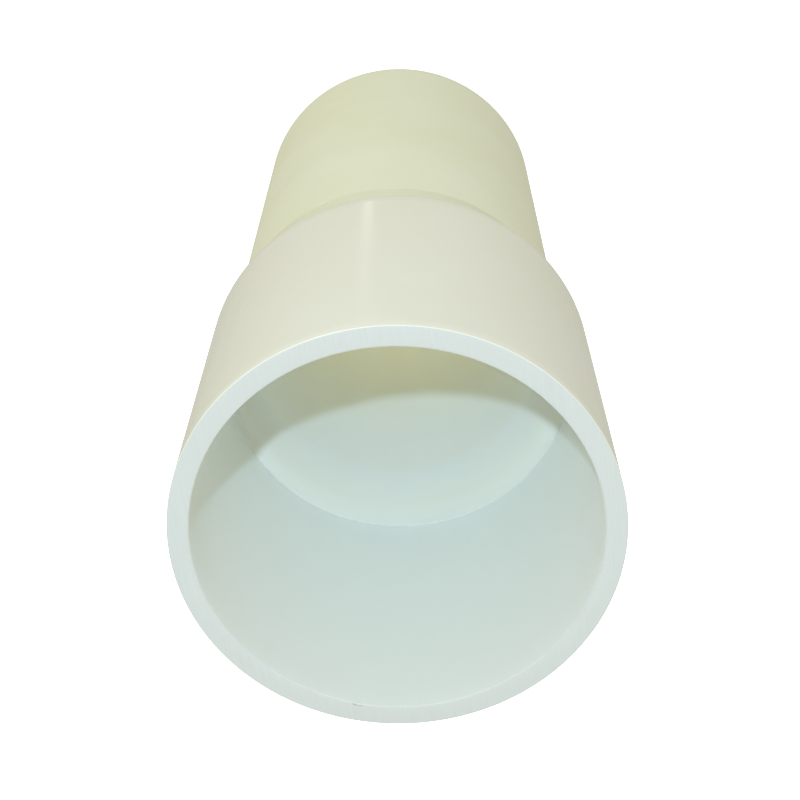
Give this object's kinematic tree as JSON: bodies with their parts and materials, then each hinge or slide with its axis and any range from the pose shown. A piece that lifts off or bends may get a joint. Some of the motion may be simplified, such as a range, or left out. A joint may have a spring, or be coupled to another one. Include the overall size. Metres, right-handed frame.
{
  "type": "eccentric pipe reducer",
  "caption": "Plain-ended plastic eccentric reducer: a wide barrel steps down off centre to a narrower barrel, so that the bore stays nearly level along one side.",
  "frame": {"origin": "centre of the object's box on the plane of the small end's cut face: the point where the large barrel's axis meets that plane", "axes": "+Z along the large barrel's axis, from the small end up to the large mouth; -Y towards the flat side, where the two outsides nearly line up; the small barrel's axis is 8.2 mm towards -Y; +X makes a right-handed frame"},
  "size_m": [0.16, 0.16, 0.346],
  "materials": {
    "large_barrel_plastic": "smooth extruded cream white rigid PVC with a soft gloss, whiter on the cut mouth and in the bore",
    "shoulder_plastic": "moulded cream white rigid PVC, satin",
    "small_barrel_plastic": "extruded ivory rigid PVC, yellower and duller than the large barrel",
    "inner_cement": "clear-drying solvent cement, glossy",
    "outer_cement": "solvent cement, slightly olive, glossy"
  },
  "bodies": {
    "root": {"large_barrel": "large_barrel_plastic", "eccentric_shoulder": "shoulder_plastic", "small_barrel": "small_barrel_plastic", "inner_joint_bead": "inner_cement", "outer_joint_bead": "outer_cement"}
  },
  "joints": []
}
